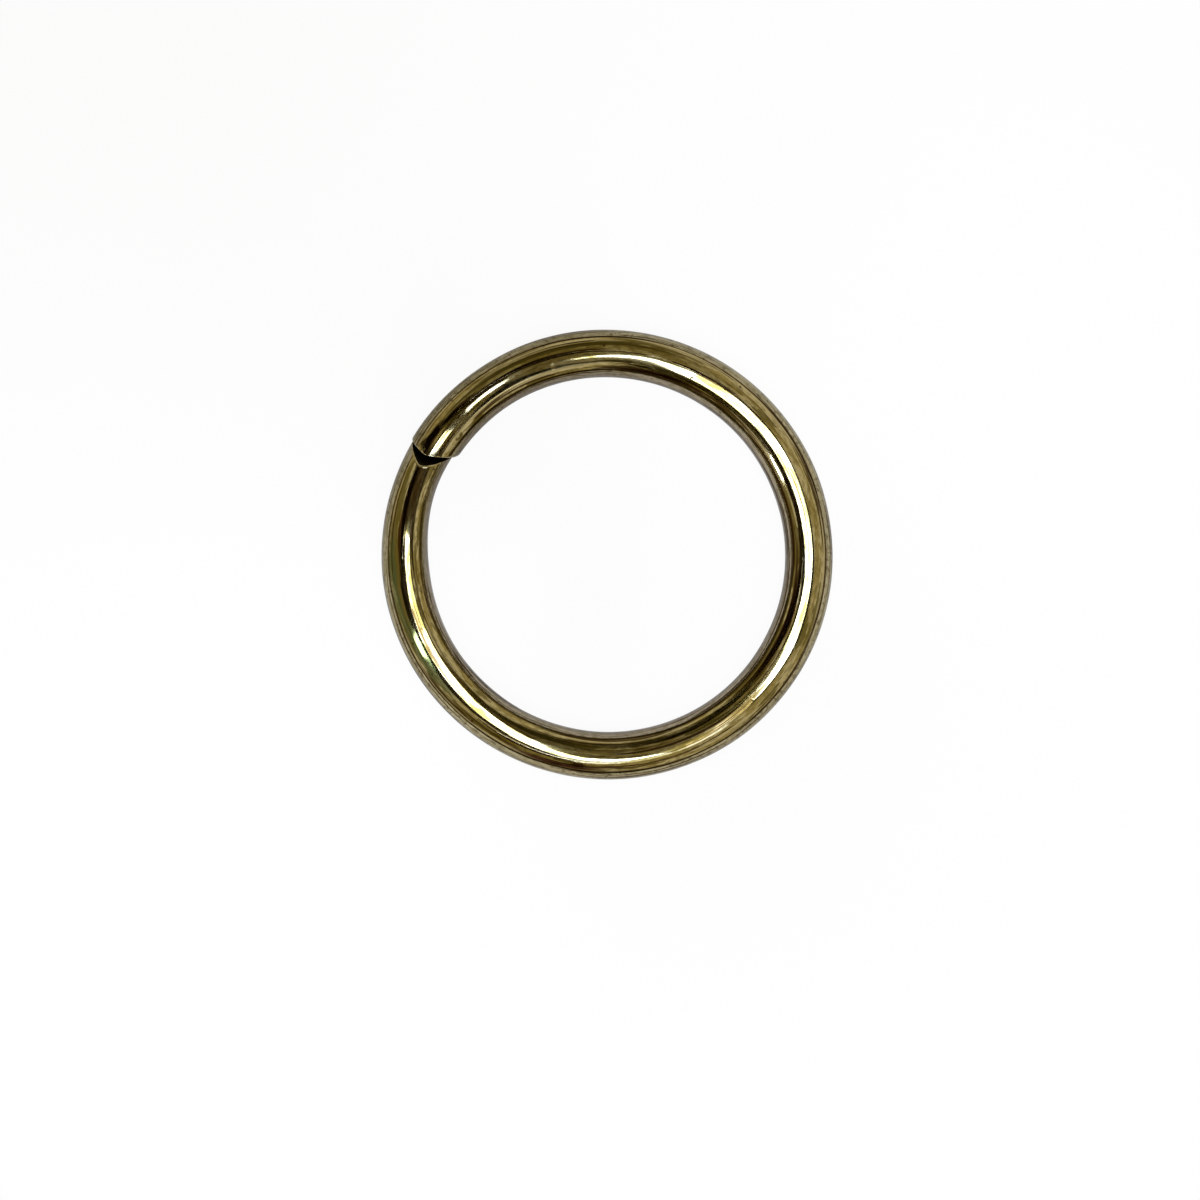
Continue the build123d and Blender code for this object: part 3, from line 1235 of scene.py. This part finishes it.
SCRIM_CORNERS = [(134, 0.17), (150, 0.05), (167, 0.02), (171, 0.12), (163, 0.24), (142, 0.27)]
FRAME_HEIGHT = 95
FRAME_SIZES = (1.06, 0.86)


def corners_over_wire(corners, height):
    """The corners of a card, from the places on the wire where they are to show."""
    return [seen_in_wire(*corner, height * MM) for corner in corners]


for name, (height, colour, corners) in CARDS.items():
    hang_card(name, corners_over_wire(corners, height), colour)
hang_card("scrim", corners_over_wire(SCRIM_CORNERS, SCRIM_HEIGHT), SCRIM, SCRIM_GLOW)
frame_corners = level_rectangle(FRAME_HEIGHT * MM, SOFTBOX_CENTRE, FRAME_SIZES, SOFTBOX_TURN)
hang_card("softbox_frame", frame_corners, BLACK)
print("cards", len(CARDS) + 2)

# %% [markdown]
# The rest of the room is the world: a warm, even tone, darker near the horizon and in a few zones.
# Each zone is a soft round patch of sky, given by its direction, its angle from straight up and
# its size.

# %% Light the room
ROOM = (0.84, 0.77, 0.54, 1)
HORIZON = (0.09, 0.055, 0.022, 1)
DIM_FROM, DIM_BELOW = 0.20, 0.08  # heights in the sky, where 1 is straight up

# Each zone: its direction and its angle from straight up, how far round that point it is full and
# where it is gone, all in degrees, and its colour.
ZONES = [
    (-50.4, 40, 12, 36, (0.36, 0.31, 0.14, 1)),
    (94.6, 50, 6, 22, (0.36, 0.30, 0.11, 1)),
    (105.6, 70, 6, 17, (0.10, 0.04, 0.025, 1)),
]

world = bpy.data.worlds.new("room")
bpy.context.scene.world = world
world.use_nodes = True
tree = world.node_tree
direction = add(tree, "ShaderNodeTexCoord").outputs["Generated"]
height = add(tree, "ShaderNodeSeparateXYZ", {0: direction}).outputs["Z"]
low_down = add(
    tree,
    "ShaderNodeMapRange",
    {"Value": height, "From Min": DIM_FROM, "From Max": DIM_BELOW},
    interpolation_type="SMOOTHSTEP",
)
sky = blend_colours(tree, low_down.outputs[0], ROOM, HORIZON).outputs["Result"]
for turn, tilt, full, gone, colour in ZONES:
    turn, tilt = math.radians(turn), math.radians(tilt)
    aimed = (math.sin(tilt) * math.cos(turn), math.sin(tilt) * math.sin(turn), math.cos(tilt))
    nearness = add(tree, "ShaderNodeVectorMath", {0: direction, 1: aimed}, operation="DOT_PRODUCT")
    patch = add(
        tree,
        "ShaderNodeMapRange",
        {
            "Value": nearness.outputs["Value"],
            "From Min": math.cos(math.radians(gone)),
            "From Max": math.cos(math.radians(full)),
        },
        interpolation_type="SMOOTHSTEP",
    )
    sky = blend_colours(tree, patch.outputs[0], sky, colour).outputs["Result"]

room = tree.nodes["Background"]
tree.links.new(sky, room.inputs["Color"])
backdrop = add(tree, "ShaderNodeBackground", {"Color": (1, 1, 1, 1), "Strength": 1.0})
rays = add(tree, "ShaderNodeLightPath")
choice = add(
    tree,
    "ShaderNodeMixShader",
    {0: rays.outputs["Is Camera Ray"], 1: room.outputs[0], 2: backdrop.outputs[0]},
)
tree.links.new(choice.outputs[0], tree.nodes["World Output"].inputs["Surface"])
print("zones in the room", len(ZONES))
